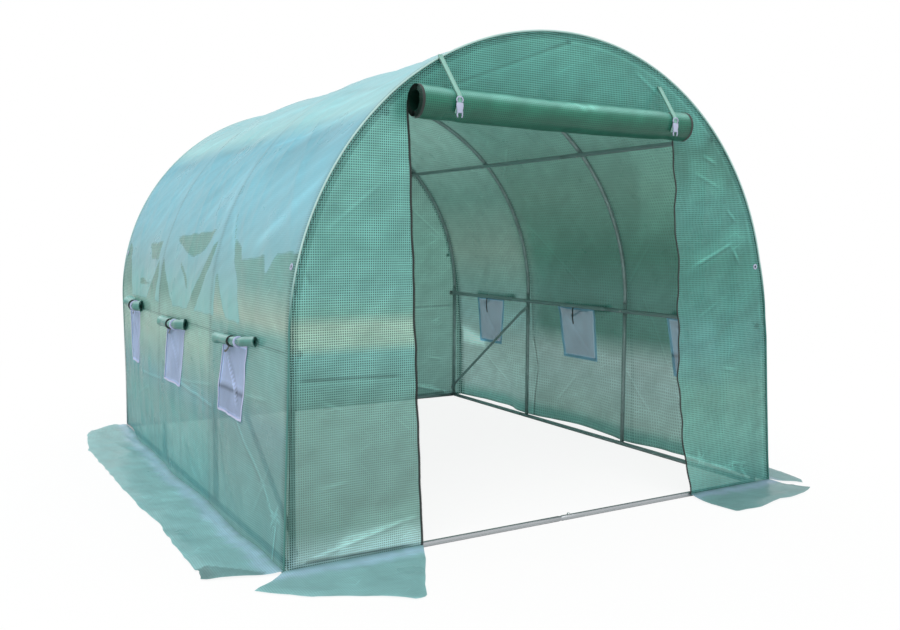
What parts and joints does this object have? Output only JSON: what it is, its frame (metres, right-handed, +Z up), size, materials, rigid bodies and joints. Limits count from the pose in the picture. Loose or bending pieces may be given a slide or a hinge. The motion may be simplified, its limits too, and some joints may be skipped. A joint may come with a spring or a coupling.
{
  "type": "polytunnel greenhouse",
  "caption": "Walk-in arched tunnel of reinforced green cover on a bolted steel tube frame, with a rolled-up door, net windows and ground skirts.",
  "frame": {"origin": "on the ground under the centre of the tunnel, skirts included", "axes": "+X to the right seen from the doorway, -Y the front with the doorway, +Y the closed back, +Z up"},
  "size_m": [2.5566, 3.2416, 1.7583],
  "materials": {
    "galvanised_steel": "satin",
    "black_plastic": "satin",
    "cover": "satin",
    "rolled_cover": "satin",
    "insect_net": "matte",
    "webbing": "matte",
    "white_plastic": "gloss",
    "zip_tape": "matte"
  },
  "bodies": {
    "root": {"back_ground_rail": "galvanised_steel", "back_skirt": "cover", "back_wall_cover": "cover", "door_roll": "rolled_cover", "door_roll_straps": "webbing", "front_ground_rail": "galvanised_steel", "front_left_panel": "cover", "front_left_skirt": "cover", "front_right_panel": "cover", "front_right_skirt": "cover", "front_top_panel": "cover", "hoop_1_arch": "galvanised_steel", "hoop_1_left_leg": "galvanised_steel", "hoop_1_right_leg": "galvanised_steel", "hoop_2_arch": "galvanised_steel", "hoop_2_left_leg": "galvanised_steel", "hoop_2_right_leg": "galvanised_steel", "hoop_3_arch": "galvanised_steel", "hoop_3_left_leg": "galvanised_steel", "hoop_3_right_leg": "galvanised_steel", "hoop_4_arch": "galvanised_steel", "hoop_4_left_leg": "galvanised_steel", "hoop_4_right_leg": "galvanised_steel", "left_brace": "galvanised_steel", "left_door_zip": "zip_tape", "left_flap_rolls": "rolled_cover", "left_ground_rail": "galvanised_steel", "left_mid_purlin": "galvanised_steel", "left_skirt": "cover", "left_upper_purlin": "galvanised_steel", "left_wall_cover": "cover", "left_window_nets": "insect_net", "purlin_end_caps": "black_plastic", "ridge_purlin": "galvanised_steel", "right_brace": "galvanised_steel", "right_door_zip": "zip_tape", "right_flap_rolls": "rolled_cover", "right_ground_rail": "galvanised_steel", "right_mid_purlin": "galvanised_steel", "right_skirt": "cover", "right_upper_purlin": "galvanised_steel", "right_wall_cover": "cover", "right_window_nets": "insect_net", "roof_cover": "cover", "strap_buckles": "white_plastic"}
  },
  "joints": []
}
